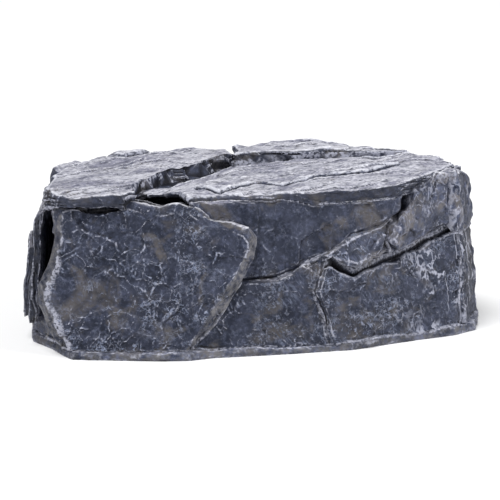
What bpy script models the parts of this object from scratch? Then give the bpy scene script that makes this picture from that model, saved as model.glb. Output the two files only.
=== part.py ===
"""A hollow cave ornament of cast resin, sculpted as a stack of slate slabs bonded round an open chamber.

Metres, +Z up, +Y to the rear. The origin is on the underside of the base plate, below the middle of the chamber.
Outlines are in millimetres, because that is how the slabs are measured.
"""

import math

import bmesh
import bpy
from mathutils import Vector

MM = 0.001

# Driving dimensions, in millimetres.
FLOOR = 4.0  # thickness of the base plate that every wall stands on
BOND = 0.5  # height of the glue line between the base plate and the walls
JOINT = 0.4  # gap between neighbouring slabs
WALL = 12.0  # usual thickness of a wall slab
LEAF = 4.5  # thickness of the thin leaves on the left end
ROOF = 9.0  # usual thickness of a roof slab
FRONT_TOP = 76.0  # the front and end walls run this far up their slope, and the roof slabs trim them
REAR_TOP = 80.0  # the same for the rear walls
REAR_FOOT = 55.0  # how far the rear walls stand behind the origin
MOUTH_TOP = 54.0  # height of the cave mouth's lintel above the ground
WALL_FOOT = FLOOR + BOND
BURIED = -2.2  # wall outlines start this far below the glue line, and the base plate trims them flat

WORN_EDGE = (1.6, 1.4)  # inset and depth of the usual worn rim
BROAD_EDGE = (4.5, 5.5)  # the front plate's rim, which shows as a pale band
THIN_EDGE = (0.8, 0.7)
SOLE = 0.5  # usual inset of a slab's inner face
UNDERCUT = 4.0  # inset of the front roof slab's lower face, which leaves its edge thin

# Colour, roughness and metallic value of each finish.
FINISHES = {
    "dark_slate": ((0.055, 0.060, 0.085), 0.62, 0.0),
    "pale_slate": ((0.200, 0.205, 0.245), 0.70, 0.0),
    "warm_slate": ((0.085, 0.080, 0.085), 0.66, 0.0),
    "grey_foot": ((0.150, 0.155, 0.175), 0.68, 0.0),
}


def clear_scene():
    for obj in list(bpy.data.objects):
        bpy.data.objects.remove(obj, do_unlink=True)


def finish_material(finish):
    """The Principled material of one finish, made the first time it is asked for."""
    found = bpy.data.materials.get(finish)
    if found:
        return found
    colour, roughness, metallic = FINISHES[finish]
    material = bpy.data.materials.new(finish)
    material.use_nodes = True
    shader = material.node_tree.nodes["Principled BSDF"]
    shader.inputs["Base Color"].default_value = (*colour, 1.0)
    shader.inputs["Roughness"].default_value = roughness
    shader.inputs["Metallic"].default_value = metallic
    return material


def inset_ring(outline, distance):
    """The outline, anticlockwise, with each side moved inwards by the distance."""
    ring = []
    for index, point in enumerate(outline):
        here = Vector(point)
        before = (here - Vector(outline[index - 1])).normalized()
        after = (Vector(outline[(index + 1) % len(outline)]) - here).normalized()
        inward = Vector((-before.y, before.x)) + Vector((-after.y, after.x))
        ring.append(here + inward.normalized() * distance / max(0.5, inward.length / 2))
    return ring


def unworn_foot(ring, outline):
    """The ring, but with the points on a wall's foot back at the foot's height."""
    return [(x, foot if foot == BURIED else y) for (x, y), (_, foot) in zip(ring, outline)]


def slab_mesh(name, outline, thickness, rim, sole, swell=0.0):
    """A slab whose outer face lies in local XY with its outline's rim worn back, and whose body goes down local Z
    to an inner face that is inset by sole. Swell makes it that much bigger on every side."""
    inset, depth = rim
    rings = (
        (unworn_foot(inset_ring(outline, inset - swell), outline), swell),
        (inset_ring(outline, -swell), -depth),
        (unworn_foot(inset_ring(outline, sole - swell), outline), -thickness - swell),
    )
    bm = bmesh.new()
    loops = [[bm.verts.new((x * MM, y * MM, z * MM)) for x, y in ring] for ring, z in rings]
    bm.faces.new(loops[0])
    bm.faces.new(reversed(loops[-1]))
    for upper, lower in zip(loops, loops[1:]):
        for index in range(len(outline)):
            bm.faces.new((upper[index - 1], lower[index - 1], lower[index], upper[index]))
    bmesh.ops.recalc_face_normals(bm, faces=bm.faces)
    mesh = bpy.data.meshes.new(name)
    bm.to_mesh(mesh)
    bm.free()
    return mesh


def place(mesh, location, rotation):
    obj = bpy.data.objects.new(mesh.name, mesh)
    obj.location = Vector(location) * MM
    obj.rotation_euler = [math.radians(angle) for angle in rotation]
    bpy.context.scene.collection.objects.link(obj)
    return obj


def add_slab(name, shape, location, rotation, finish):
    """The slab, and the cutter that keeps its neighbours a joint's width away from it."""
    slab = place(slab_mesh(name, *shape), location, rotation)
    slab.data.materials.append(finish_material(finish))
    cutter = place(slab_mesh("cut_" + name, *shape, swell=JOINT), location, rotation)
    cutter.hide_render = True
    cutter.display_type = "WIRE"
    return slab, cutter


def wall_slab(name, outline, foot, turn, lean, thickness=WALL, rim=WORN_EDGE, finish="dark_slate"):
    """An upright slab. Its outline is measured from foot: along the wall, then up it. A turn of 0 faces the front,
    and lean tips its top inwards."""
    return add_slab(name, (outline, thickness, rim, SOLE), foot, (90 - lean, 0, turn), finish)


def lying_slab(name, outline, pivot, tilt, thickness, rim=WORN_EDGE, finish="pale_slate", sole=SOLE):
    """A flat slab. Its outline is in plan, its top passes through pivot, and tilt is its rise to the rear and to the
    right, in degrees."""
    plan = [(x - pivot[0], y - pivot[1]) for x, y in outline]
    rise_rear, rise_right = tilt
    return add_slab(name, (plan, thickness, rim, sole), pivot, (rise_rear, -rise_right, 0), finish)


def base():
    outline = [
        (-116, -20), (-105, -34), (-97, -48), (-92, -54.5), (-76, -56), (-50, -57.5), (-32, -57),
        (-20, -52), (10, -46.5), (52, -37), (84, -19.5), (108, -8.5), (121, 3), (125.5, 30),
        (119, 46), (105, 57), (60, 62), (10, 62), (-50, 62), (-95, 55), (-117, 32), (-119, 6),
    ]
    return [lying_slab("base_plate", outline, (0, 0, FLOOR), (0, 0), FLOOR, (1.2, 1.5), "grey_foot")]


def front_plate():
    """The big leaf that leans on the front left."""
    outline = [
        (-92, BURIED), (-34, BURIED), (-23, 9), (-14, 22), (-5, 36), (1, 48), (3, 57), (-2, 63),
        (-10, 66), (-22, 68), (-31, 74), (-38, 75), (-46, 73), (-54, 75), (-61, 77), (-70, 77.5),
        (-87, 76.5), (-100, 74), (-100, 60), (-101, 46), (-106, 34), (-106, 23), (-99, 9),
    ]
    return [wall_slab("front_plate", outline, (0, -56.5, WALL_FOOT), -2.5, 6.8, rim=BROAD_EDGE)]


def roof():
    left = [
        (-104, -38), (-100, -47), (-93, -50), (-85, -51), (-76, -50), (-66, -49), (-60, -44),
        (-50, -30), (-42, -14), (-35, 1), (-25, 10), (-14, 22), (-10, 34), (-16, 50), (-40, 53),
        (-58, 50), (-74, 48), (-86, 38), (-97, 20), (-104, 0), (-106, -18),
    ]
    rear = [
        (-12, 23), (4, 31), (27, 37), (48, 42), (70, 44), (86, 47), (80, 53), (60, 57), (34, 60),
        (16, 60), (0, 57), (-12, 54), (-8, 36),
    ]
    front = [
        (-64, -38), (-55, -46), (-41, -45), (-29, -44), (-16, -39), (-6, -38), (6, -37), (14, -34),
        (30, -35), (48, -33), (61, -29), (76, -24), (84, -15), (93, -6), (101, 6), (109, 14),
        (108, 24), (104, 35), (97, 45), (86, 54), (70, 57), (20, 57), (-14, 49), (-50, 10),
    ]
    lamina = [
        (-30, -28), (-16, -36), (-8, -28), (5, -16), (15, -22), (25, -15), (34, -8), (60, -3),
        (80, 10), (60, 26), (20, 18), (-12, 4),
    ]
    chip = [(-78, 36), (-70, 32), (-60, 34), (-55, 40), (-60, 46), (-70, 46), (-77, 42)]
    return [
        lying_slab("roof_slab_left", left, (-60, 0, 87.8), (2.3, 2.3), ROOF),
        lying_slab("roof_slab_rear", rear, (30, 48, 92.6), (3, -0.6), ROOF),
        lying_slab("roof_chip_left", chip, (-66, 44, 91.2), (1, 3), 4.5, rim=WORN_EDGE),
        lying_slab("roof_lamina", lamina, (20, 0, 87.3), (3.9, 1.4), 3, rim=THIN_EDGE),
        lying_slab("roof_slab_front", front, (0, 0, 85.3), (3.9, 1.4), ROOF, sole=UNDERCUT),
    ]


def left_end():
    """The laminated left end: thin leaves over a slab, with a stone at its foot."""
    foot_stone = [(-115, -19), (-105, -32), (-97, -43), (-88, -40), (-92, -20), (-100, -6), (-116, -6)]
    outer_leaf = [(-16, 28), (-14, 9), (12, 7), (20, 12), (22, 30), (19, 46), (10, 53), (-6, 50)]
    mid_leaf = [(-20, 40), (-18, 8), (30, 8), (35, 22), (34, 52), (28, 66), (-10, 72)]
    wall = [
        (-28, 40), (-24, BURIED), (38, BURIED), (43, 20), (45, 45), (46, 70), (44, FRONT_TOP),
        (-26, FRONT_TOP),
    ]
    return [
        lying_slab("left_foot_stone", foot_stone, (-105, -25, 16), (3, -4), 11.4, finish="warm_slate"),
        wall_slab("left_outer_leaf", outer_leaf, (-121, 0, WALL_FOOT), -90, 5, LEAF, THIN_EDGE),
        wall_slab("left_mid_leaf", mid_leaf, (-117, 0, WALL_FOOT), -90, 5, LEAF, THIN_EDGE),
        wall_slab("left_wall_slab", wall, (-108.5, 0, WALL_FOOT), -78, 5, 9),
    ]


def front_right():
    """The recessed front wall and the cracked blocks that turn the right front corner."""
    lower = [
        (-42, BURIED), (32, BURIED), (28, 14), (23, 27), (30, 45), (21, 42), (4, 34), (-16, 34),
        (-42, 34),
    ]
    upper = [
        (-52, 32), (-27, 34), (-6, 34.5), (10, 42), (24, 47.5), (33, 54), (49, 58.5), (60, 66),
        (60, FRONT_TOP), (-52, FRONT_TOP),
    ]
    wedge = [
        (-38, 5), (-30, 2.5), (-17, -1), (-2, 2), (6, 5), (8, 14), (6, 24), (-2, 18), (-21, 13),
    ]
    right_lower = [
        (-43, BURIED), (36, BURIED), (37, 30), (35, 56), (6, 47), (-13, 41), (-28, 37.5),
        (-42, 47), (-51, 27), (-46, 14),
    ]
    shoulder = [
        (-20, -11.5), (-3, -6.5), (22, 2), (26, 10), (23, 29), (11, 28), (-7, 20), (-12, 12),
        (-20, 3), (-24, -4),
    ]
    end_lower = [(-16, BURIED), (19, BURIED), (20, 30), (16, 49), (-15, 51), (-17, 20)]
    end_upper = [(-17, -4), (17, -6), (18, 8), (12, 20), (-4, 27), (-15, 29), (-18, 8)]
    return [
        wall_slab("front_wall_lower", lower, (10, -43.5, WALL_FOOT), 12, 4, 14),
        wall_slab("right_lower_block", right_lower, (80, -19.5, WALL_FOOT), 27, 5, 14),
        wall_slab("right_shoulder_block", shoulder, (92, -10, 60), 36, 5, 14, finish="warm_slate"),
        wall_slab("front_wedge", wedge, (70, -23, 45), 25, 14),
        wall_slab("front_wall_upper", upper, (20, -36, WALL_FOOT), 14, 2),
        wall_slab("right_end_lower", end_lower, (119, 13, WALL_FOOT), 73, 4),
        wall_slab("right_end_upper", end_upper, (115.5, 13, 60), 73, 7, finish="warm_slate"),
    ]


def rear():
    """The rear wall with the cave mouth."""
    lintel = [
        (-48, 14), (-44, 3), (-30, -1), (-5, 4), (20, 1), (40, 4), (46, 14), (40, 30), (-42, 30),
    ]
    jamb = [(-8, BURIED), (9, BURIED), (10, 20), (8, 40), (5, 52), (-5, 50), (-8, 25)]
    wall_left = [(-33, BURIED), (31, BURIED), (32, REAR_TOP), (-31, REAR_TOP)]
    wall_right = [(-36, BURIED), (32, BURIED), (31, REAR_TOP), (-36, REAR_TOP)]
    corner_left = [(-14, BURIED), (18, BURIED), (20, 50), (16, REAR_TOP), (-14, REAR_TOP)]
    corner_right = [(-14, BURIED), (12, BURIED), (12, REAR_TOP), (-10, REAR_TOP), (-15, 40)]
    foot_stone = [(66, 50), (84, 50), (96, 54), (90, 61), (78, 64), (66, 61)]
    return [
        wall_slab("entrance_lintel", lintel, (3, REAR_FOOT + 2, MOUTH_TOP), 180, 5, 14),
        wall_slab("entrance_jamb_left", jamb, (-38, REAR_FOOT + 6, WALL_FOOT), 180, 2, 8),
        wall_slab("entrance_jamb_right", jamb, (46, REAR_FOOT + 6, WALL_FOOT), 178, 3, 8),
        lying_slab("rear_foot_stone", foot_stone, (80, 57, 19), (-8, 3), 14.4, finish="warm_slate"),
        wall_slab("rear_wall_left", wall_left, (-61, REAR_FOOT, WALL_FOOT), 183, 3),
        wall_slab("rear_wall_right", wall_right, (68, REAR_FOOT + 1, WALL_FOOT), 177, 3),
        wall_slab("rear_corner_left", corner_left, (-102, 42, WALL_FOOT), -135, 4),
        wall_slab("rear_corner_right", corner_right, (111, 43, WALL_FOOT), 133, 4),
    ]


def world_box(obj):
    corners = [obj.matrix_world @ Vector(corner) for corner in obj.bound_box]
    return [(min(c[axis] for c in corners), max(c[axis] for c in corners)) for axis in range(3)]


def boxes_meet(first, second):
    return all(a[0] < b[1] and b[0] < a[1] for a, b in zip(first, second))


def fit_together(pairs):
    """Trims each slab by the earlier ones it would run into, so that the earlier ones keep their whole shape."""
    bpy.context.view_layer.update()
    boxes = [world_box(cutter) for _, cutter in pairs]
    for index, (slab, _) in enumerate(pairs):
        for earlier in range(index):
            if boxes_meet(boxes[index], boxes[earlier]):
                trim = slab.modifiers.new("fit_" + pairs[earlier][0].name, "BOOLEAN")
                trim.operation = "DIFFERENCE"
                trim.solver = "EXACT"
                trim.object = pairs[earlier][1]


def main():
    clear_scene()
    fit_together(base() + front_plate() + roof() + left_end() + front_right() + rear())


main()
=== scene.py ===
"""The looks of the resin cave ornament: each CAD slab becomes a rough, painted piece of slate."""

import itertools
import math
from types import SimpleNamespace

import bmesh
import bpy
import numpy as np
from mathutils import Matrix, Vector
from mathutils.bvhtree import BVHTree
from mathutils.kdtree import KDTree


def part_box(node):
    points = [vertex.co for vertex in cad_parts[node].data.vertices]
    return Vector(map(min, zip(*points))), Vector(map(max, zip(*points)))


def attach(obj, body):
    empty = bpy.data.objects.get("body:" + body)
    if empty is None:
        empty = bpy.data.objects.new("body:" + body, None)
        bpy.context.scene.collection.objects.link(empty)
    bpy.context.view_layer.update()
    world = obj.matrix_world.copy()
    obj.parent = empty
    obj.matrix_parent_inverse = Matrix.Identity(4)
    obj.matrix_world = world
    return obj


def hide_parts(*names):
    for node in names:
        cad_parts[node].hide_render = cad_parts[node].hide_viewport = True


MM = 0.001  # the relief is worked out in millimetres, and the scene is in metres

VOXEL = 0.75  # size of a piece's facets, unless the next table gives another
VOXELS = {"base_plate": 1.0, "front_plate": 0.6, "front_wall_upper": 0.65, "front_wall_lower": 0.65,
          "front_wedge": 0.65, "right_lower_block": 0.65, "right_shoulder_block": 0.65,
          "roof_slab_left": 0.62, "roof_slab_front": 0.65}
HIDDEN_SHARE = 0.10  # share of the facets kept on the faces that look into the chamber
CHAMBER = np.array([0.0, 6.0, 42.0])  # middle of the chamber
WELD = 0.00001  # vertices closer than this, in metres, become one

NOTCH = 4.5  # depth of the notch along the top of the right lower block, whose darkness is painted shade
STEP_DOWN = 2.2  # how far the front roof slab sinks towards the step behind it
PLATE_FLARE = 3.6  # how far the front plate's left side is moved out low down
HOLLOW_REACH = (17.5, 18.5)  # half the width and depth of the hollow under the front roof slab's tip
TROUGH_REACH = (15.0, 4.1)  # the same for the part of that hollow that goes into the front plate
TROUGH_DEEP = 0.66  # where that part's middle is, as a share of the front plate's depth
LINE_REACH = 3.0  # how far from a sharp edge its wear can reach
GRAIN = 24  # degrees between the roof's grain and the length of the cave

SENSOR = 36  # width of the camera's sensor
LENS = 135.36  # focal length
SHIFT = -0.004  # sideways shift of the view
PITCH = math.radians(13)  # how far the camera looks down
REACH = 1.0  # distance from the camera to the middle of the cave, in metres
MIDDLE_HEIGHT = 0.045  # height of that middle, in metres
FLOOR_SIZE = 6.0  # half the width of the floor, in metres



# ---------------------------------------------------------------- noise

def scrambled(cells, seed):
    """A repeatable 64-bit number for each row of whole numbers."""
    x, y, z = (cells[:, axis].astype(np.uint64) for axis in range(3))
    h = x * np.uint64(0x9E3779B185EBCA87) + y * np.uint64(0xC2B2AE3D27D4EB4F)
    h += z * np.uint64(0x165667B19E3779F9) + np.uint64(seed * 7919 + 17)
    h ^= h >> np.uint64(31)
    h *= np.uint64(0xFF51AFD7ED558CCD)
    h ^= h >> np.uint64(29)
    h *= np.uint64(0xC4CEB9FE1A85EC53)
    return h ^ (h >> np.uint64(32))


def direction_table():
    rng = np.random.default_rng(4)
    table = rng.normal(size=(256, 3))
    return (table / np.linalg.norm(table, axis=1, keepdims=True)).astype(np.float32)


DIRECTIONS = direction_table()


def noise(points, seed):
    """Smooth gradient noise, about -1 to 1, that changes over a distance of 1."""
    cell = np.floor(points).astype(np.int64)
    part = (points - cell).astype(np.float32)
    ease = part * part * part * (part * (part * 6 - 15) + 10)
    total = np.zeros(len(points), np.float32)
    for corner in itertools.product((0, 1), repeat=3):
        offset = np.array(corner)
        slope = DIRECTIONS[(scrambled(cell + offset, seed) & np.uint64(255)).astype(np.int64)]
        weight = np.prod(np.where(offset, ease, 1 - ease), axis=1)
        total += weight * ((part - offset) * slope).sum(axis=1)
    return total * 1.7


def cloud(points, octaves, seed, gain=0.5):
    """Noise summed over octaves, about -1 to 1."""
    total, weight = np.zeros(len(points), np.float32), 1.0
    for octave in range(octaves):
        total += weight * noise(points * 2.03**octave, seed + octave)
        weight *= gain
    return total


def drift(points, seed):
    """A smooth random vector for each point."""
    return np.stack([noise(points, seed + 31 * axis) for axis in range(3)], axis=1)


def chips(points, seed, spread=0.8):
    """The random cell that each point is in: a number from 0 to 1, a height from a random tilt, and the
    distance to the cell's edge."""
    cell = np.floor(points - 0.5).astype(np.int64)
    count = len(points)
    best = np.full(count, 9.0, np.float32)
    second = best.copy()
    level, tilt = np.zeros(count, np.float32), np.zeros(count, np.float32)
    for corner in itertools.product((0, 1), repeat=3):
        home = cell + np.array(corner)
        key = scrambled(home, seed)
        jitter = np.stack([(key >> np.uint64(s)) & np.uint64(1023) for s in (3, 17, 31)], axis=1) / 1023.0
        away = (points - home - 0.5 - (jitter - 0.5) * spread).astype(np.float32)
        distance = np.sqrt((away * away).sum(axis=1))
        slope = DIRECTIONS[((key >> np.uint64(45)) & np.uint64(255)).astype(np.int64)]
        closer = distance < best
        second = np.where(closer, best, np.minimum(second, distance))
        best = np.where(closer, distance, best)
        level = np.where(closer, ((key >> np.uint64(53)) & np.uint64(1023)).astype(np.float32) / 1023, level)
        tilt = np.where(closer, (away * slope).sum(axis=1), tilt)
    return level, tilt, second - best


def smooth_step(low, high, value):
    part = np.clip((value - low) / (high - low), 0, 1)
    return part * part * (3 - 2 * part)


# ---------------------------------------------------------------- meshes

def numbers(items, field, width, kind=np.float32):
    values = np.zeros(len(items) * width, kind)
    items.foreach_get(field, values)
    return values.reshape(-1, width) if width > 1 else values


def apply_modifiers(obj):
    graph = bpy.context.evaluated_depsgraph_get()
    mesh = bpy.data.meshes.new_from_object(obj.evaluated_get(graph), depsgraph=graph)
    old = obj.data
    obj.modifiers.clear()
    obj.data = mesh
    bpy.data.meshes.remove(old)


class Net:
    """Which points of a mesh are joined by an edge, for smoothing."""

    def __init__(self, mesh):
        self.ends = numbers(mesh.edges, "vertices", 2, np.int32)
        self.count = len(mesh.vertices)
        self.degree = np.bincount(self.ends.ravel(), minlength=self.count).clip(1)

    def average(self, values):
        first, second = self.ends.T
        if values.ndim == 1:
            total = np.bincount(first, values[second], self.count)
            total += np.bincount(second, values[first], self.count)
            return total / self.degree
        return np.stack([self.average(values[:, axis]) for axis in range(values.shape[1])], axis=1)

    def blurred(self, values, rounds):
        for _ in range(rounds):
            values = 0.5 * values + 0.5 * self.average(values)
        return values


def unit(vectors):
    return vectors / np.linalg.norm(vectors, axis=1, keepdims=True).clip(1e-9)


def spot(node, across, deep, high):
    """The point at these shares of a CAD node's box, in millimetres."""
    low, top = (np.array(corner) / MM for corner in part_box(node))
    return low + (top - low) * np.array((across, deep, high))


def solid(name, points, faces):
    mesh = bpy.data.meshes.new(name)
    mesh.from_pydata([tuple(np.array(point) * MM) for point in points], [], faces)
    bm = bmesh.new()
    bm.from_mesh(mesh)
    bmesh.ops.triangulate(bm, faces=bm.faces)
    bmesh.ops.recalc_face_normals(bm, faces=bm.faces)
    bm.to_mesh(mesh)
    bm.free()
    obj = bpy.data.objects.new(name, mesh)
    bpy.context.scene.collection.objects.link(obj)
    return obj


def prism(name, ring, low, high, back):
    """A block over a ring of (x, y) points. Its floor follows the function low, and its flat top is at high.
    There the first points of the ring, as many as back holds, are moved by back."""
    count = len(ring)
    shift = list(back) + [(0, 0)] * (count - len(back))
    points = [(x, y, low(x, y)) for x, y in ring]
    points += [(x + dx, y + dy, high) for (x, y), (dx, dy) in zip(ring, shift)]
    sides = [(i, (i + 1) % count, (i + 1) % count + count, i + count) for i in range(count)]
    return solid(name, points, sides + [tuple(range(count)), tuple(range(count, 2 * count))])


def wedge_cutter(name, upper, lower, front, back):
    """A flat gap that is open to the front, between an upper and a lower line of (x, z) points."""
    ring = list(upper) + list(reversed(lower))
    count = len(ring)
    points = [(x, y, z) for y in (front, back) for x, z in ring]
    sides = [(i, (i + 1) % count, (i + 1) % count + count, i + count) for i in range(count)]
    ends = [tuple(range(count)), tuple(range(2 * count - 1, count - 1, -1))]
    return solid(name, points, sides + ends)


def bowl_cutter(name, centre, reach, rim, profile, steps=28):
    """A hollow with an overhanging rim: an ellipse that widens and narrows with height. The profile is a list
    of (share of the reach, height over the rim)."""
    points = []
    for share, high in profile:
        for step in range(steps):
            turn = 2 * math.pi * step / steps
            points.append((centre[0] + reach[0] * share * math.cos(turn),
                           centre[1] + reach[1] * share * math.sin(turn), rim + high))
    faces = [tuple(range(steps)), tuple(range(len(points) - steps, len(points)))]
    for ring in range(len(profile) - 1):
        for step in range(steps):
            this, after = ring * steps + step, ring * steps + (step + 1) % steps
            faces.append((this, after, after + steps, this + steps))
    return solid(name, points, faces)


def scarp_line():
    """The foot of the step where the left roof slab has broken away from the lower front one, in plan."""
    shares = ((0.00, 0.10), (0.022, 0.21), (0.046, 0.30), (0.082, 0.41), (0.121, 0.48), (0.164, 0.535),
              (0.234, 0.66), (0.30, 0.74), (0.39, 0.745), (0.52, 0.80), (0.64, 0.85), (0.76, 0.87))
    return [tuple(spot("roof_slab_front", across, deep, 0)[:2]) for across, deep in shares]


def line_distance(points, line):
    """How far each point is from a line of (x, y) points, in plan."""
    best = np.full(len(points), 1e3)
    for first, second in zip(line, line[1:]):
        first, along = np.array(first), np.array(second) - np.array(first)
        away = points[:, :2] - first
        share = (away @ along / (along @ along)).clip(0, 1)
        best = np.minimum(best, np.linalg.norm(away - share[:, None] * along, axis=1))
    return best


def top_plane(node):
    """The plane of a flat slab's top: its height at the origin, and its slope along x and along y."""
    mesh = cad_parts[node].data
    up = [poly for poly in mesh.polygons if poly.normal.z > 0.95]
    rows = [(1, *(mesh.vertices[index].co.xy / MM)) for poly in up for index in poly.vertices]
    heights = [mesh.vertices[index].co.z / MM for poly in up for index in poly.vertices]
    return np.linalg.lstsq(np.array(rows), np.array(heights), rcond=None)[0]


def front_top(x, y):
    """The height of the front roof slab's top, carried on beyond its edges."""
    base, right, rear = top_plane("roof_slab_front")
    return base + right * x + rear * y


def step_down(x):
    """How far the front roof slab sinks at the foot of the step: less towards the slab's thin tip."""
    tip, full = (spot("roof_slab_front", across, 0, 0)[0] for across in (0.0, 0.16))
    return STEP_DOWN * smooth_step(tip, full, x)


def hollow_place():
    """The middle of the hollow under the front roof slab's tip, and the height of its rim."""
    return spot("roof_slab_front", 0.09, 0.0, 0), spot("front_plate", 0, 0, 0.94)[2]


def trough_middle():
    """The middle, in plan, of the part of that hollow that goes into the front plate."""
    return hollow_place()[0][0], spot("front_plate", 0, TROUGH_DEEP, 0)[1]


def cleft_cutter():
    """The gap between the front plate's top and the left roof slab."""
    upper = ((0.01, 0.935), (0.06, 0.952), (0.15, 0.955), (0.20, 0.948), (0.28, 0.962), (0.34, 0.955),
             (0.37, 0.94))
    lower = ((0.01, 0.93), (0.08, 0.932), (0.17, 0.93), (0.21, 0.912), (0.25, 0.918), (0.31, 0.928),
             (0.37, 0.935))
    above, below = ([spot("front_plate", across, 0, high)[[0, 2]] for across, high in shares]
                    for shares in (upper, lower))
    front, back = (spot("front_plate", 0, deep, 0)[1] for deep in (-0.4, 0.75))
    return wedge_cutter("cleft", above, below, front, back)


def scoop_cutter():
    """The part of the hollow that goes into the roof slabs. It closes upwards and leaves a thin blade."""
    middle, rim = hollow_place()
    profile = [(0.8, -1.8), (1.0, -0.8), (1.12, 2.0), (0.9, 3.2), (0.74, 3.8), (0.72, 20)]
    return bowl_cutter("scoop", middle, HOLLOW_REACH, rim, profile)


def trough_cutter():
    """The part of the hollow that goes into the front plate."""
    rim = hollow_place()[1]
    profile = [(0.7, -6), (0.95, -4.5), (1.0, -1), (1.0, 20)]
    return bowl_cutter("trough", trough_middle(), TROUGH_REACH, rim, profile)


def step_cutter():
    """What has broken away from the left roof slab, down to the front one's top."""
    foot = scarp_line()[:8]
    around = [tuple(spot("roof_slab_front", across, deep, 0)[:2])
              for across, deep in ((0.55, 0.5), (0.3, -0.1), (0.05, -0.1))]
    return prism("step", foot + around, lambda x, y: front_top(x, y) - step_down(x),
                 hollow_place()[1] + 30, [(-7, 11)] * len(foot))


def make_cutters():
    """The deep hollows of the front and the step in the roof, each with the nodes that it is cut from."""
    return [(cleft_cutter(), ("front_plate", "roof_slab_left")), (step_cutter(), ("roof_slab_left",)),
            (scoop_cutter(), ("roof_slab_front", "roof_slab_left")), (trough_cutter(), ("front_plate",))]


def square_rim(mesh):
    """Brings the plate's top rim forward, to 1 mm behind its face, which then ends in a crisp thin edge."""
    facing = Vector()
    for poly in mesh.polygons:
        if poly.normal.y < -0.9:
            facing += poly.normal * poly.area
    facing.normalize()
    front = max(vert.co.dot(facing) for vert in mesh.vertices)
    right, _, low = spot("front_plate", 0.965, 0, 0.78) * MM
    for vert in mesh.vertices:
        behind = front - vert.co.dot(facing)
        if vert.co.z > low and vert.co.x < right and 3 * MM < behind < 8 * MM:
            vert.co += facing * (behind - MM)


def weld(mesh):
    bm = bmesh.new()
    bm.from_mesh(mesh)
    bmesh.ops.remove_doubles(bm, verts=bm.verts, dist=WELD)
    bm.to_mesh(mesh)
    bm.free()


def even_facets(piece, size):
    even = piece.modifiers.new("even", "REMESH")
    even.mode = "VOXEL"
    even.voxel_size = size * MM
    apply_modifiers(piece)


def fine_copy(node, cutters):
    """The CAD node's shape with its hollows cut, in even facets, with fewer where they face the chamber."""
    piece = bpy.data.objects.new(node + "_rock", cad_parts[node].data.copy())
    bpy.context.scene.collection.objects.link(piece)
    weld(piece.data)
    if node == "front_plate":
        square_rim(piece.data)
    for cutter, nodes in cutters:
        if node in nodes:
            cut = piece.modifiers.new("cut", "BOOLEAN")
            cut.operation = "DIFFERENCE"
            cut.solver = "EXACT"
            cut.object = cutter
    if piece.modifiers:
        apply_modifiers(piece)
    even_facets(piece, VOXELS.get(node, VOXEL))
    mesh = piece.data
    points = numbers(mesh.vertices, "co", 3) / MM
    facing = Net(mesh).blurred(numbers(mesh.vertex_normals, "vector", 3), 3)
    inner = ((points - CHAMBER) * facing).sum(axis=1) < -3
    if node == "base_plate":
        inner = np.abs(facing[:, 2]) > 0.8
    if inner.sum() > 200:
        group = piece.vertex_groups.new(name="inner")
        group.add(np.nonzero(inner)[0].tolist(), 1.0, "REPLACE")
        thin = piece.modifiers.new("thin", "DECIMATE")
        thin.vertex_group = "inner"
        thin.vertex_group_factor = 100
        thin.ratio = 1 - inner.mean() * (1 - HIDDEN_SHARE)
        apply_modifiers(piece)
        piece.vertex_groups.clear()
    return piece


# ---------------------------------------------------------------- relief

def strata(points, along, pitch, seed):
    """How far each thin layer of a broken edge stands out, from -1 to 1, with a groove between layers."""
    height = along / pitch + 0.8 * cloud(points / 26, 2, seed)
    layer = np.floor(height)
    inside = height - layer
    place = np.stack([points[:, 0] / 15, points[:, 1] / 15, layer * 5.3], axis=1)
    ledge = noise(place, seed + 5)
    return 1.3 * ledge - 0.9 * smooth_step(0.72, 0.98, inside) - 0.4 * smooth_step(0.25, 0.0, inside)


def crest(points, size, seed, power):
    """Thin meandering crests, from 0 to 1."""
    return (1 - np.abs(noise(points / size, seed)).clip(0, 1)) ** power


def crumple(points):
    """A broken net of raised wrinkles at three scales, from about 0 to 1."""
    bent = points + 1.8 * drift(points / 9, 200) + 0.7 * drift(points / 3.5, 210)
    total = np.zeros(len(points))
    for size, power, weight, seed in ((11, 7, 1.0, 220), (6, 6, 0.8, 230), (3.2, 4, 0.45, 240)):
        there = smooth_step(-0.30, 0.35, cloud(points / (2.6 * size), 2, seed + 3))
        total += weight * there * crest(bent, size, seed, power)
    _, _, edge = chips(bent / 8, 250, spread=1.0)
    there = smooth_step(-0.1, 0.3, cloud(points / 22, 2, 253))
    return total + 0.8 * there * smooth_step(0.16, 0.0, edge)


def wall_relief(points, net, style):
    bent = points + 3.0 * drift(points / 19, 40)
    level, tilt, _ = chips(bent / 30, 3)
    facets = 1.0 * (level - 0.5) + 2.0 * tilt
    level, tilt, _ = chips((points + 2.0 * drift(points / 8, 60)) / 11, 8)
    facets += 0.25 * (level - 0.5) + 0.55 * tilt
    height = net.blurred(facets, 2) + 0.9 * cloud(points / 36, 2, 20) + 0.45 * cloud(points / 9, 4, 25, 0.6)
    return style.rough * height


def roof_relief(points, net, style):
    turn = math.radians(GRAIN)
    along = points[:, 0] * math.cos(turn) + points[:, 1] * math.sin(turn)
    across = points[:, 1] * math.cos(turn) - points[:, 0] * math.sin(turn)
    laid = np.stack([along, across, points[:, 2]], axis=1)
    layers = 2.2 * cloud(laid / (80, 18, 40), 3, 70)
    step = np.floor(layers) + smooth_step(0.80, 0.99, layers - np.floor(layers))
    top = 0.8 * (step - step.mean()) + 0.4 * cloud(points / 40, 2, 73)
    calm = 0.45 + 0.55 * smooth_step(-0.2, 0.4, cloud(points / 30, 2, 78))
    top += calm * (0.34 * cloud(laid / (10, 4, 6), 3, 75, 0.6) + 0.2 * cloud(laid / (3.6, 2.4, 3), 2, 80))
    return style.rough * top


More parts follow.
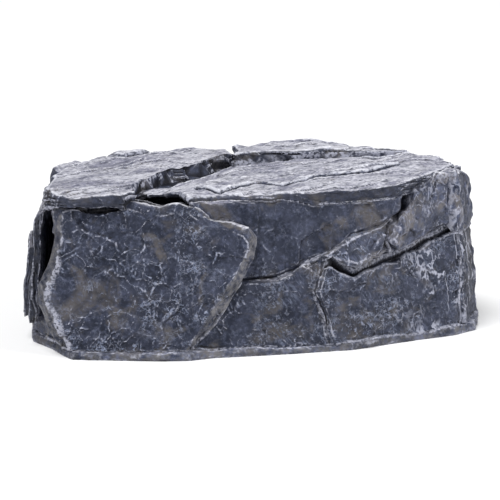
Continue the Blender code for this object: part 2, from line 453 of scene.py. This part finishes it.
def leaf_relief(points, net, style):
    return style.rough * (0.5 * cloud(points / (14, 14, 40), 3, 90) + 0.2 * cloud(points / 5, 2, 95))


def foot_relief(points, net, style):
    return style.rough * 0.35 * cloud(points / 9, 3, 100)


def sharp_lines(node, layers):
    """Points along the CAD node's sharp outer edges, 0.4 mm apart, as a tree."""
    bm = bmesh.new()
    bm.from_mesh(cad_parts[node].data)
    bmesh.ops.remove_doubles(bm, verts=bm.verts, dist=WELD)
    bm.normal_update()
    spots = []
    for edge in bm.edges:
        if len(edge.link_faces) != 2 or edge.calc_face_angle(0.0) < 0.35 or not edge.is_convex:
            continue
        if max(abs(face.normal.dot(layers)) for face in edge.link_faces) < 0.85:
            continue
        first, second = (vert.co / MM for vert in edge.verts)
        steps = max(1, int((second - first).length / 0.4))
        spots += [first.lerp(second, (step + 0.5) / steps) for step in range(steps)]
    bm.free()
    tree = KDTree(max(1, len(spots)))
    for index, place in enumerate(spots or [Vector((0, 0, -1000))]):
        tree.insert(place, index)
    tree.balance()
    return tree


def surfaces(nodes):
    """The surfaces of some CAD nodes, in one tree."""
    points, faces = [], []
    for node in nodes:
        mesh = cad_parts[node].data
        start = len(points)
        points += [vert.co / MM for vert in mesh.vertices]
        faces += [[start + index for index in poly.vertices] for poly in mesh.polygons]
    return BVHTree.FromPolygons(points, faces)


def distances(tree, points, reach, kind):
    """How far each point is from a tree's nearest part, and no more than reach."""
    if kind == "lines":
        return np.array([min(reach, tree.find(point)[2]) for point in points.tolist()])
    found = (tree.find_nearest(point, reach)[3] for point in points.tolist())
    return np.array([reach if value is None else value for value in found])


def sunk(points, node):
    """How far a roof slab's top sinks towards the step, and none at its underside."""
    if node not in ("roof_slab_front", "roof_lamina"):
        return np.zeros(len(points))
    share = smooth_step(-8, -1, points[:, 2] - front_top(points[:, 0], points[:, 1]))
    return step_down(points[:, 0]) * share * smooth_step(24, 3, line_distance(points, scarp_line()))


def in_hollow(points, node):
    """1 inside the hollow under the front roof slab's tip, and 0 outside it."""
    middle, rim = hollow_place()
    if node in ("roof_slab_front", "roof_slab_left"):
        away = np.linalg.norm((points[:, :2] - middle[:2]) / HOLLOW_REACH, axis=1)
        return smooth_step(1.2, 1.13, away) * smooth_step(rim + 4.6, rim + 3.6, points[:, 2])
    if node == "front_plate":
        away = np.linalg.norm((points[:, :2] - trough_middle()) / TROUGH_REACH, axis=1)
        return smooth_step(1.2, 1.0, away) * smooth_step(rim - 8, rim - 6, points[:, 2])
    return np.zeros(len(points))


def in_notch(points, facing, node):
    """1 in the notch along the top of the right lower block, which gets painted shade, and 0 elsewhere."""
    if node != "right_lower_block":
        return np.zeros(len(points))
    over = distances(surfaces(("front_wedge", "right_shoulder_block")), points, 9.0, "surfaces")
    over += 1.6 * noise(points / 9, 270)
    return smooth_step(5.4, 4.2, over) * smooth_step(0.2, 0.5, -facing[:, 1])


def joints(points, facing, node):
    """Where the piece meets its neighbours, from 0 to 1, and how far it stands out there to close the gap."""
    others = surfaces([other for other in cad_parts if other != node])
    joint = 1 - smooth_step(0.7, 1.6, distances(others, points, 2.0, "surfaces"))
    if node == "roof_slab_left":
        joint *= smooth_step(6, 10, line_distance(points, scarp_line()))
    sealed = smooth_step(0.2, 0.6, np.abs(facing[:, 0])) * smooth_step(-0.35, 0.25, noise(points / 13, 260))
    sealed *= not node.startswith("roof_")
    if node in ("front_wall_lower", "right_lower_block"):
        sealed = smooth_step(0.1, 0.4, np.abs(facing[:, 0]))
    return joint, 0.3 + 1.0 * sealed


def raised(points, facing, net, node, style):
    """How far each point stands out away from the joints, and the raised wrinkles alone."""
    layers = np.array(style.layers)
    layered = 1 - smooth_step(0.35, 0.75, np.abs(facing @ layers))
    convex = ((points - net.blurred(points, 14)) * facing).sum(axis=1)
    height = style.relief(points, net, style)
    turned = style.front + (1 - style.front) * smooth_step(0.25, 0.6, np.abs(facing[:, 0]))
    if node == "roof_slab_left":
        turned = np.maximum(turned, smooth_step(18, 9, line_distance(points, scarp_line())))
    height += style.broken * turned * layered * strata(points, points @ layers, style.pitch, 110)
    bite = smooth_step(-0.1, 0.7, cloud(points / 6, 2, 50)) * convex.clip(0, 0.5)
    vein = crumple(points) * (1 - layered)
    height += style.crumpled * (vein - 0.4) - style.chipped * bite
    return height, vein


def displaced(points, facing, height, node):
    """The points bent and pushed out by height. The foot stays flat, and nothing goes below the floor."""
    bend = 1.4 * drift(points / 26, 1) + 0.65 * drift(points / 8, 2)
    grounded = smooth_step(0.3, 2.5, points[:, 2])
    moved = points + (bend + facing * height[:, None]) * grounded[:, None]
    moved[:, 2] -= sunk(points, node)
    if node == "front_plate":
        low = smooth_step(spot(node, 0, 0, 0.85)[2], spot(node, 0, 0, 0.45)[2], points[:, 2])
        moved[:, 0] -= PLATE_FLARE * low * smooth_step(0.1, 0.7, -facing[:, 0])
    moved[:, 2] = moved[:, 2].clip(0)
    return moved


def roughen(piece, node, style):
    """Moves the piece's surface, and keeps what the paint needs at each point: where it stands out or sinks
    in, and whether it is near an edge, or on a thin side, a raised line, or a hollow or notch that gets
    painted shade."""
    mesh = piece.data
    net = Net(mesh)
    points = (numbers(mesh.vertices, "co", 3) / MM).astype(np.float64)
    facing = unit(net.blurred(numbers(mesh.vertex_normals, "vector", 3), 2))
    unwrap(mesh, points, facing)
    height, vein = raised(points, facing, net, node, style)
    joint, seal = joints(points, facing, node)
    notch = in_notch(points, facing, node)
    height = height * (1 - joint) + seal * joint
    height = height * (1 - notch) - NOTCH * notch
    moved = displaced(points, facing, height, node)
    flat = np.abs(facing @ np.array(style.layers))
    line = distances(sharp_lines(node, style.layers), points, LINE_REACH, "lines")
    # deep marks the hollow under the roof's tip and the notch, where shade is painted near-black
    marks = {"vein": vein, "side": 1 - smooth_step(0.74, 0.93, flat), "line": 1 - line / LINE_REACH,
             "deep": np.maximum(in_hollow(points, node), 0.75 * notch)}
    for name, rounds, size in (("fine", 3, 0.16), ("broad", 16, 0.7)):
        marks[name] = ((moved - net.blurred(moved, rounds)) * facing).sum(axis=1) / size
    mesh.vertices.foreach_set("co", (moved * MM).astype(np.float32).ravel())
    for name, value in marks.items():
        keep(mesh, name, value)
    mesh.shade_smooth()
    mesh.update()


def keep(mesh, name, value):
    layer = mesh.attributes.new(name, "FLOAT", "POINT")
    layer.data.foreach_set("value", value.astype(np.float32))


def mark_open(pieces):
    """How open to the sky each point is, from 0 to 1. The dust and painted top light fade where it is low,
    which paints shade into crevices and under lips.
    """
    points, faces, start = [], [], 0
    for piece in pieces:
        mesh = piece.data
        co = numbers(mesh.vertices, "co", 3) / MM
        mesh.calc_loop_triangles()
        faces.append(numbers(mesh.loop_triangles, "vertices", 3, np.int32) + start)
        points.append(co)
        start += len(co)
    tree = BVHTree.FromPolygons(np.concatenate(points).tolist(), np.concatenate(faces).tolist())
    rays = [Vector((math.cos(turn) * lean, math.sin(turn) * lean, 1)).normalized()
            for lean, turns in ((0.1, (0.5,)), (0.8, (0.3, 1.6, 2.8, 4.1, 5.4))) for turn in turns]
    for piece, co in zip(pieces, points):
        mesh = piece.data
        facing = numbers(mesh.vertex_normals, "vector", 3)
        start = co + 0.8 * facing + np.array((0, 0, 0.3))
        seen = np.zeros(len(co))
        for ray in rays:
            ahead = np.nonzero(facing @ np.array(ray) > 0)[0]
            for index, place in zip(ahead.tolist(), start[ahead].tolist()):
                if tree.ray_cast(place, ray, 40)[0] is None:
                    seen[index] += 1 / len(rays)
        keep(mesh, "open", Net(mesh).blurred(seen, 2))


def unwrap(mesh, points, facing):
    """Lays the surface out flat for baking: one tile for each of the six directions that it can face."""
    corners = numbers(mesh.loops, "vertex_index", 1, np.int32)
    starts = numbers(mesh.polygons, "loop_start", 1, np.int32)
    counts = numbers(mesh.polygons, "loop_total", 1, np.int32)
    face_normal = np.add.reduceat(facing[corners], starts, axis=0)
    axis = np.abs(face_normal).argmax(axis=1)
    back = face_normal[np.arange(len(axis)), axis] < 0
    axis, back = np.repeat(axis, counts), np.repeat(back, counts)
    low, size = points.min(axis=0) - 1, np.ptp(points, axis=0) + 4
    flat = ((1, 2), (0, 2), (0, 1))
    tiles = sorted(((a, s) for a in range(3) for s in (False, True)), key=lambda t: -size[flat[t[0]][1]])
    area = (size[[0, 0, 1]] * size[[1, 2, 2]]).sum()
    row = 1.02 * max(2 * size[0], size[0] + size[1], math.sqrt(2.4 * area))
    place, x, y, tall = {}, 0.0, 0.0, 0.0
    for a, s in tiles:
        wide, high = size[flat[a][0]], size[flat[a][1]]
        if x + wide > row:
            x, y, tall = 0.0, y + tall, 0.0
        place[a, s] = (x, y)
        x, tall = x + wide, max(tall, high)
    whole = max(row, y + tall)
    uv = np.zeros((len(corners), 2), np.float32)
    spots = points[corners] - low
    for (a, s), (x, y) in place.items():
        here = (axis == a) & (back == s)
        uv[here] = (spots[here][:, flat[a]] + (x, y)) / whole
    layer = mesh.uv_layers.new(name="OFBake")
    layer.data.foreach_set("uv", uv.ravel())


# ---------------------------------------------------------------- materials

class Graph:
    """A material's nodes, with one short call for each."""

    def __init__(self, name):
        self.material = bpy.data.materials.new(name)
        self.material.use_nodes = True
        self.tree = self.material.node_tree
        self.shader = self.tree.nodes["Principled BSDF"]
        self.place = self.add("TexCoord").outputs["Object"]
        self.along, _, self.above = self.split(self.place)
        _, _, self.upward = self.split(self.add("NewGeometry").outputs["Normal"])
        self.marks = {}

    def put(self, socket, value):
        if isinstance(value, bpy.types.NodeSocket):
            self.tree.links.new(value, socket)
        elif socket.type == "RGBA":
            socket.default_value = (*value, 1.0)
        else:
            socket.default_value = value

    def add(self, kind, **settings):
        node = self.tree.nodes.new("ShaderNode" + kind)
        for name, value in settings.items():
            setattr(node, name, value)
        return node

    def math(self, operation, first, second=0.0):
        node = self.add("Math", operation=operation)
        self.put(node.inputs[0], first)
        self.put(node.inputs[1], second)
        return node.outputs[0]

    def split(self, vector):
        node = self.add("SeparateXYZ")
        self.put(node.inputs[0], vector)
        return tuple(node.outputs)

    def most(self, *values):
        """The greatest of some values."""
        top = values[0]
        for value in values[1:]:
            top = self.math("MAXIMUM", top, value)
        return top

    def times(self, *factors):
        product = factors[0]
        for factor in factors[1:]:
            product = self.math("MULTIPLY", product, factor)
        return product

    def away(self, value, middle):
        """How far a value is from the middle, either way."""
        return self.math("ABSOLUTE", self.math("SUBTRACT", value, middle))

    def step(self, value, low, high):
        """0 below low, 1 above high, and smooth between. Low may be the greater."""
        node = self.add("MapRange", interpolation_type="SMOOTHSTEP")
        flip = low > high
        for name, number in (("From Min", min(low, high)), ("From Max", max(low, high)),
                             ("To Min", float(flip)), ("To Max", float(not flip))):
            node.inputs[name].default_value = number
        self.put(node.inputs["Value"], value)
        return node.outputs["Result"]

    def mix(self, factor, first, second, blend="MIX"):
        node = self.add("Mix", data_type="RGBA", blend_type=blend)
        self.put(node.inputs[0], factor)
        self.put(node.inputs[6], first)
        self.put(node.inputs[7], second)
        return node.outputs[2]

    def noise(self, size, detail=3.0, rough=0.5, distortion=0.0, place=None):
        """Noise whose features are about size millimetres."""
        node = self.add("TexNoise")
        self.put(node.inputs["Vector"], place or self.place)
        node.inputs["Scale"].default_value = 1 / (size * MM)
        node.inputs["Detail"].default_value = detail
        node.inputs["Roughness"].default_value = rough
        node.inputs["Distortion"].default_value = distortion
        return node.outputs["Fac"]

    def shifted(self, size, reach):
        """The place, moved about by up to about reach millimetres."""
        node = self.add("TexNoise")
        self.put(node.inputs["Vector"], self.place)
        node.inputs["Scale"].default_value = 1 / (size * MM)
        node.inputs["Detail"].default_value = 3
        centred = self.add("VectorMath", operation="SUBTRACT")
        self.put(centred.inputs[0], node.outputs["Color"])
        centred.inputs[1].default_value = (0.5, 0.5, 0.5)
        scaled = self.add("VectorMath", operation="SCALE")
        self.put(scaled.inputs[0], centred.outputs[0])
        scaled.inputs["Scale"].default_value = 2 * reach * MM
        moved = self.add("VectorMath", operation="ADD")
        self.put(moved.inputs[0], self.place)
        self.put(moved.inputs[1], scaled.outputs[0])
        return moved.outputs[0]

    def stretched(self, factors, turn):
        """The place turned by some degrees about each axis, then stretched."""
        turned, stretch = self.add("Mapping"), self.add("Mapping")
        self.put(turned.inputs["Vector"], self.place)
        turned.inputs["Rotation"].default_value = tuple(math.radians(angle) for angle in turn)
        self.put(stretch.inputs["Vector"], turned.outputs[0])
        stretch.inputs["Scale"].default_value = factors
        return stretch.outputs[0]

    def edges(self, size, place):
        """The distance to the nearest edge of a net of cells, in cells."""
        node = self.add("TexVoronoi", feature="DISTANCE_TO_EDGE")
        self.put(node.inputs["Vector"], place)
        node.inputs["Scale"].default_value = 1 / (size * MM)
        return node.outputs["Distance"]

    def mark(self, name):
        """One of the numbers that the relief keeps at each point."""
        if name not in self.marks:
            self.marks[name] = self.add("Attribute", attribute_name=name).outputs["Fac"]
        return self.marks[name]


SLATE_DARK = (0.014, 0.018, 0.034)
SLATE_MID = (0.038, 0.044, 0.072)
BROWN = (0.098, 0.090, 0.090)
RIM = (0.120, 0.118, 0.125)
BEVEL = (0.21, 0.205, 0.215)
PALE_BLUE = (0.24, 0.28, 0.40)
PALE_GREY = (0.40, 0.41, 0.49)
DUST_SHADE = (0.25, 0.25, 0.32)
# DUST_AND_TOP_LIGHT is pale dust with painted top light in it, for faces that point up.
DUST_AND_TOP_LIGHT = (0.62, 0.62, 0.68)
# CREST_HIGHLIGHT is a near-white painted highlight on raised tips that face up, over pale dry-brush.
CREST_HIGHLIGHT = (0.84, 0.85, 0.90)
# SHADE is near-black painted shade, for recesses, hollows and the notch.
SHADE = (0.005, 0.005, 0.008)

# How strong each part of the paint is, unless a paint says otherwise.
USUAL = {"veins": 1.0, "dust": 1.0, "brown": 1.0, "edge": 1.0, "lighter": 1.0, "rim": 0.5, "rim_tint": RIM,
         "brushed": 0.0, "branches": 0.0, "dusty_sides": 1.0, "lipped": False}


def clouds(g, paint):
    """The ground colour: dark blue-grey and brown clouds, paler thin sides, and a fine mottle."""
    tints = (SLATE_DARK, SLATE_MID, BROWN)
    dark, mid, warm = (tuple(paint.lighter * part for part in tint) for tint in tints)
    colour = g.mix(g.step(g.noise(13, 5, 0.6), 0.36, 0.66), dark, mid)
    patch = g.step(g.noise(19, 4, 0.55, distortion=0.8), 0.50, 0.66)
    colour = g.mix(g.times(patch, 0.85 * paint.brown), colour, warm)
    thin = g.times(g.mark("side"), g.step(g.noise(4, 5, 0.7), 0.34, 0.64), paint.rim)
    colour = g.mix(thin, colour, paint.rim_tint)
    mottle = g.step(g.noise(2.6, 4, 0.65), 0.45, 0.72)
    colour = g.mix(g.times(mottle, 0.55), colour, tuple(2.2 * part for part in mid))
    if paint.brushed:
        strokes = g.noise(1.1, 3, 0.6, place=g.stretched((1.0, 1.0, 0.16), (0, 38, 0)))
        strokes = g.times(g.step(strokes, 0.50, 0.66), g.step(g.noise(16, 3), 0.46, 0.60))
        colour = g.mix(g.times(strokes, paint.brushed), colour, tuple(0.5 * part for part in PALE_BLUE))
    return colour


def threads_of(g, crowd, cells):
    """Pale threads: torn edges of cells of two sizes, loose strands and flecks, stronger in a crowd."""
    wide = g.times(g.step(cells, 0.085, 0.015), g.step(g.noise(3.4, 4, 0.65), 0.47, 0.58))
    small = g.step(g.edges(2.7, g.shifted(2.2, 2.4)), 0.16, 0.02)
    small = g.times(small, g.step(g.noise(9, 4, 0.6), 0.52, 0.62))
    strands = g.step(g.away(g.noise(7.5, 3, 0.6), 0.5), 0.018, 0.004)
    strands = g.times(strands, g.step(g.noise(15, 3), 0.47, 0.60))
    flecks = g.times(g.step(g.noise(0.9, 2, 0.5), 0.64, 0.72), g.step(g.noise(11, 3), 0.50, 0.62))
    threads = g.most(wide, small, strands, g.times(flecks, 0.3))
    return g.times(threads, g.math("ADD", g.times(crowd, 0.8), 0.2))


def branches_of(g, strength):
    """Pale stems that fork, on the right end only."""
    place = g.stretched((1.0, 1.0, 0.42), (0, 8, 0))
    stem = g.step(g.away(g.noise(13, 3, 0.6, place=place), 0.5), 0.022, 0.006)
    fork = g.step(g.away(g.noise(7, 3, 0.6, place=place), 0.5), 0.020, 0.006)
    stem = g.most(stem, g.times(fork, g.step(g.noise(20, 2), 0.45, 0.55)))
    right = g.step(g.along, 0.058, 0.100)
    stem = g.times(stem, right, g.step(g.noise(3, 4, 0.6), 0.36, 0.50), strength)
    return g.times(stem, g.step(g.noise(22, 2), 0.36, 0.48))


def net_over(g, colour, paint):
    """Pale paint left on raised wrinkles and threads, more of it low down, with painted shade in the recesses
    by it.
    """
    low = g.step(g.above, 0.075, 0.015)
    crowd = g.step(g.math("ADD", g.noise(24, 4, distortion=0.6), g.times(low, 0.07)), 0.50, 0.64)
    cells = g.edges(6.5, g.shifted(3.6, 4.2))
    fine = g.mark("fine")
    threads = threads_of(g, crowd, cells)
    ridges = g.times(g.step(g.mark("vein"), 0.60, 1.35), g.step(fine, -0.2, 0.9))
    ridges = g.times(ridges, g.step(g.noise(1.7, 4, 0.6), 0.36, 0.56))
    net = g.most(ridges, threads)
    if paint.branches:
        stem = branches_of(g, paint.branches)
        net = g.most(net, stem)
    net = g.times(net, g.step(g.noise(2.6, 4, 0.6), 0.26, 0.56), g.step(g.mark("side"), 1.0, 0.3))
    bright = g.mix(g.step(g.noise(1.3, 3), 0.45, 0.70), PALE_BLUE, PALE_GREY)
    # painted shade in the recesses beside the raised wrinkles and in sunken spots
    recess_shade = g.times(g.step(cells, 0.4, 0.1), crowd)
    recess_shade = g.most(g.times(recess_shade, 0.6), g.step(fine, -0.1, -1.3))
    colour = g.mix(g.times(recess_shade, 0.6), colour, SHADE)
    colour = g.mix(g.times(net, 0.8 * paint.veins), colour, bright)
    if paint.branches:
        colour = g.mix(g.times(stem, 0.8), colour, PALE_GREY)
    return colour, threads


def worn_edges(g, paint):
    """The pale wear along sharp edges. On a lipped slab it is wider, and on the upper side only."""
    line = g.mark("line")
    worn = g.times(g.step(line, 0.80, 0.94), g.step(g.noise(8, 4, 0.65), 0.44, 0.60))
    if paint.lipped:
        lip = g.times(g.step(line, 0.62, 0.90), g.step(g.noise(4, 4, 0.65), 0.40, 0.60))
        worn = g.times(g.most(worn, lip), g.step(g.upward, 0.0, 0.4))
    return worn


def rubbed(g, colour, paint, worn):
    """Pale paint brushed over whatever stands out."""
    rub = g.math("ADD", g.times(g.step(g.mark("fine"), 0.4, 1.8), 0.75), worn)
    rub = g.times(rub, g.step(g.noise(1.5, 4), 0.32, 0.62), paint.edge)
    return g.mix(g.math("MINIMUM", rub, 0.9), colour, PALE_GREY)


def paint_dust_and_top_light(g, colour, paint, worn):
    """Pale dust and painted top light, streaked along the roof's grain, on whatever faces up and is open to
    the sky, with painted highlights on raised tips.
    """
    fine = g.mark("fine")
    # painted top light as well as dust: faces that point up and are open to the sky are made pale
    up = g.times(g.step(g.upward, 0.55, 0.96), g.step(g.mark("open"), 0.30, 0.98))
    if paint.dusty_sides < 1:
        up = g.times(up, g.math("SUBTRACT", 1.0, g.times(g.mark("side"), 1 - paint.dusty_sides)))
    streaks = g.noise(1.5, 5, 0.7, place=g.stretched((0.28, 0.9, 0.6), (0, 0, -GRAIN)))
    dust_and_lit_top = g.times(up, g.step(streaks, 0.30, 0.54), g.step(fine, -1.7, 0.1))
    laid = g.stretched((0.45, 1.0, 1.0), (0, 0, -GRAIN))
    bands = g.times(g.noise(14, 4, 0.6, place=laid), 0.6)
    grain = g.times(g.noise(0.9, 3, 0.6, place=laid), 0.5)
    tone = g.step(g.math("ADD", bands, grain), 0.46, 0.63)
    colour = g.mix(g.times(dust_and_lit_top, 0.92 * paint.dust), colour, g.mix(tone, DUST_SHADE, DUST_AND_TOP_LIGHT))
    # painted highlights on raised tips that face up, on top of pale dry-brush
    highlight_tips = g.times(up, g.step(fine, 0.3, 1.5), g.step(g.noise(1.5, 4), 0.35, 0.6))
    if paint.lipped:
        highlight_tips = g.most(highlight_tips, g.times(worn, 0.45))
    return g.mix(g.times(highlight_tips, 0.9 * paint.dust), colour, CREST_HIGHLIGHT)


def paint_shade_in_hollows(g, colour):
    """Painted shade: near-black wherever the surface sinks in, and in the hollow under the roof's tip and the
    notch.
    """
    hollow = g.most(g.step(g.mark("fine"), -0.7, -2.2), g.step(g.mark("broad"), -0.8, -2.2), g.mark("deep"))
    return g.mix(g.times(hollow, 0.8), colour, SHADE)


def finish_surface(g, threads):
    """Uneven gloss, and a fine bump under the threads."""
    rough = g.add("Math", operation="MULTIPLY_ADD")
    g.put(rough.inputs[0], g.noise(8, 3))
    rough.inputs[1].default_value = 0.3
    rough.inputs[2].default_value = 0.38
    g.put(g.shader.inputs["Roughness"], rough.outputs[0])
    g.shader.inputs["Specular IOR Level"].default_value = 0.22
    bump = g.add("Bump")
    g.put(bump.inputs["Height"], g.math("ADD", g.noise(2.4, 5, 0.6), g.times(threads, 0.35)))
    bump.inputs["Strength"].default_value = 0.8
    bump.inputs["Distance"].default_value = 0.9 * MM
    g.put(g.shader.inputs["Normal"], bump.outputs[0])


def slate(name, **changes):
    """Painted slate, from the ground colour up to the dust with painted top light and highlights, and the
    painted shade in the hollows.
    """
    g = Graph(name)
    paint = SimpleNamespace(**{**USUAL, **changes})
    colour, threads = net_over(g, clouds(g, paint), paint)
    worn = worn_edges(g, paint)
    colour = rubbed(g, colour, paint, worn)
    colour = paint_dust_and_top_light(g, colour, paint, worn)
    g.put(g.shader.inputs["Base Color"], paint_shade_in_hollows(g, colour))
    finish_surface(g, threads)
    return g.material


# ---------------------------------------------------------------- the pieces

class Style:
    """How rough a piece is, which way its layers are stacked, and which paint it wears."""

    def __init__(self, relief, paint, rough=1.0, layers=(0, 0, 1), pitch=2.2, broken=0.6, front=1.0,
                 chipped=1.0, crumpled=0.5):
        self.relief, self.paint = relief, paint
        self.layers, self.pitch, self.broken, self.front = layers, pitch, broken, front
        self.rough, self.chipped, self.crumpled = rough, chipped, crumpled


FRONTWARD, SIDEWARD, UPWARD = (0, 1, 0), (1, 0, 0), (0, 0, 1)


def styles():
    roof = Style(roof_relief, "roof", layers=UPWARD, pitch=2.0, broken=1.2, crumpled=0.2)
    roof_front = Style(roof_relief, "roof", layers=UPWARD, pitch=2.0, broken=1.3, front=0.15, crumpled=0.2)
    wall = Style(wall_relief, "wall", rough=0.8, layers=FRONTWARD, broken=0.4, crumpled=0.4)
    block = Style(wall_relief, "block", rough=1.0, layers=FRONTWARD, broken=0.4, crumpled=0.7)
    warm = Style(wall_relief, "warm", rough=0.9, layers=FRONTWARD, broken=0.5, crumpled=0.7)
    leaf = Style(leaf_relief, "leaf", layers=SIDEWARD, pitch=1.6, broken=0.7, crumpled=0.3)
    corner = Style(wall_relief, "wall", rough=0.9, layers=UPWARD, broken=0.0)
    table = {node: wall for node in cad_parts}
    table.update({node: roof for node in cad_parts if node.startswith("roof_")})
    table.update({node: roof_front for node in ("roof_slab_front", "roof_slab_left")})
    table.update({node: block for node in ("front_wall_lower", "right_lower_block", "right_end_lower",
                                           "entrance_lintel", "entrance_jamb_left", "entrance_jamb_right")})
    table.update({node: warm for node in ("right_shoulder_block", "right_end_upper", "left_foot_stone",
                                          "rear_foot_stone")})
    table.update({node: leaf for node in ("left_outer_leaf", "left_mid_leaf", "left_wall_slab")})
    table.update({node: corner for node in ("rear_corner_left", "rear_corner_right")})
    table["front_wall_lower"] = Style(wall_relief, "lower", layers=FRONTWARD, broken=0.4, crumpled=0.7)
    table["left_foot_stone"] = Style(wall_relief, "stone", rough=0.9, layers=FRONTWARD, broken=0.5,
                                     crumpled=0.7)
    table["front_wedge"] = Style(wall_relief, "wedge", layers=FRONTWARD, broken=0.4, crumpled=0.7)
    table["front_plate"] = Style(wall_relief, "plate", rough=0.7, layers=FRONTWARD, broken=0.45, chipped=0.8,
                                 crumpled=0.65)
    table["base_plate"] = Style(foot_relief, "foot", broken=0.0, crumpled=0.15)
    return table


def paints():
    return {
        "plate": slate("plate_slate", rim=0.95, rim_tint=BEVEL, edge=1.2),
        "wall": slate("smooth_slate", veins=0.5, edge=0.6, rim=0.2),
        "block": slate("veined_slate", veins=0.8, edge=0.9, rim=0.3, brushed=0.7, branches=1.0),
        "lower": slate("grained_slate", veins=0.55, edge=1.0, rim=0.3, brown=1.2, brushed=0.8),
        # The foot stone's paint is made 2.2 times lighter: painted light, for a stone that sits in shade.
        "stone": slate("lit_stone_slate", veins=0.8, edge=1.6, rim=1.0, rim_tint=BEVEL, lighter=2.2),
        "wedge": slate("brushed_slate", edge=1.3, rim=0.8, rim_tint=BEVEL, brushed=1.6, lighter=1.2),
        "warm": slate("warm_slate", veins=0.8, brown=1.1, lighter=1.6, edge=0.8, branches=0.6),
        "leaf": slate("layered_slate", veins=0.6, edge=1.1, rim=0.3),
        "roof": slate("dusty_top_lit_slate", veins=0.4, edge=1.6, rim=0.2, dusty_sides=0.1, lipped=True),
        "foot": slate("foot_slate", veins=0.3, lighter=1.8, rim=1.0, dust=0.4),
    }


def build_rock():
    cutters = make_cutters()
    finishes = paints()
    pieces = []
    for node, style in sorted(styles().items()):
        piece = fine_copy(node, cutters)
        roughen(piece, node, style)
        piece.data.materials.clear()
        piece.data.materials.append(finishes[style.paint])
        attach(piece, "root")
        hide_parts(node)
        pieces.append(piece)
    for cutter, _ in cutters:
        bpy.data.objects.remove(cutter, do_unlink=True)
    mark_open(pieces)


# ---------------------------------------------------------------- stage

def add_light(name, kind, place, spread, power, target=(0, 0, 0.04)):
    lamp = bpy.data.lights.new(name, kind)
    if kind == "SUN":
        lamp.angle = spread
    else:
        lamp.size = spread
    lamp.energy = power
    obj = bpy.data.objects.new(name, lamp)
    obj.location = place
    obj.rotation_euler = (Vector(target) - Vector(place)).to_track_quat("-Z", "Y").to_euler()
    bpy.context.scene.collection.objects.link(obj)


def make_floor():
    mesh = bpy.data.meshes.new("floor")
    corners = [(x * FLOOR_SIZE, y * FLOOR_SIZE, 0) for x, y in ((-1, -1), (1, -1), (1, 1), (-1, 1))]
    mesh.from_pydata(corners, [], [(0, 1, 2, 3)])
    floor = bpy.data.objects.new("floor", mesh)
    bpy.context.scene.collection.objects.link(floor)
    paint = bpy.data.materials.new("floor_paint")
    paint.use_nodes = True
    shader = paint.node_tree.nodes["Principled BSDF"]
    shader.inputs["Base Color"].default_value = (0.92, 0.92, 0.92, 1)
    shader.inputs["Roughness"].default_value = 0.9
    shader.inputs["Specular IOR Level"].default_value = 0.1
    mesh.materials.append(paint)


def make_lights():
    world = bpy.data.worlds.new("studio")
    world.use_nodes = True
    back = world.node_tree.nodes["Background"]
    back.inputs["Color"].default_value = (0.97, 0.98, 1.0, 1)
    back.inputs["Strength"].default_value = 0.28
    bpy.context.scene.world = world
    add_light("key", "SUN", (-0.35, -0.4, 1.1), math.radians(38), 3.0)
    add_light("right", "AREA", (0.85, -0.4, 0.5), 0.4, 5)


def make_camera():
    lens = bpy.data.cameras.new("camera")
    lens.sensor_width = SENSOR
    lens.lens = LENS
    lens.shift_x = SHIFT
    camera = bpy.data.objects.new("camera", lens)
    camera.location = (0, -REACH * math.cos(PITCH), MIDDLE_HEIGHT + REACH * math.sin(PITCH))
    camera.rotation_euler = (math.pi / 2 - PITCH, 0, 0)
    bpy.context.scene.collection.objects.link(camera)
    bpy.context.scene.camera = camera


def set_stage():
    make_floor()
    make_lights()
    make_camera()
    bpy.context.scene.view_settings.view_transform = "Standard"


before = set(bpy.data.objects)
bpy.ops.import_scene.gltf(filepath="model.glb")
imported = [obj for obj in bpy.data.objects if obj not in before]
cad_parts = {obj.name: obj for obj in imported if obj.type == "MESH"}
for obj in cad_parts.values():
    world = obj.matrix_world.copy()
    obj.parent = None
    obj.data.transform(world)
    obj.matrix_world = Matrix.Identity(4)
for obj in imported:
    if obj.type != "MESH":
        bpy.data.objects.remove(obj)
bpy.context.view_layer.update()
build_rock()
set_stage()
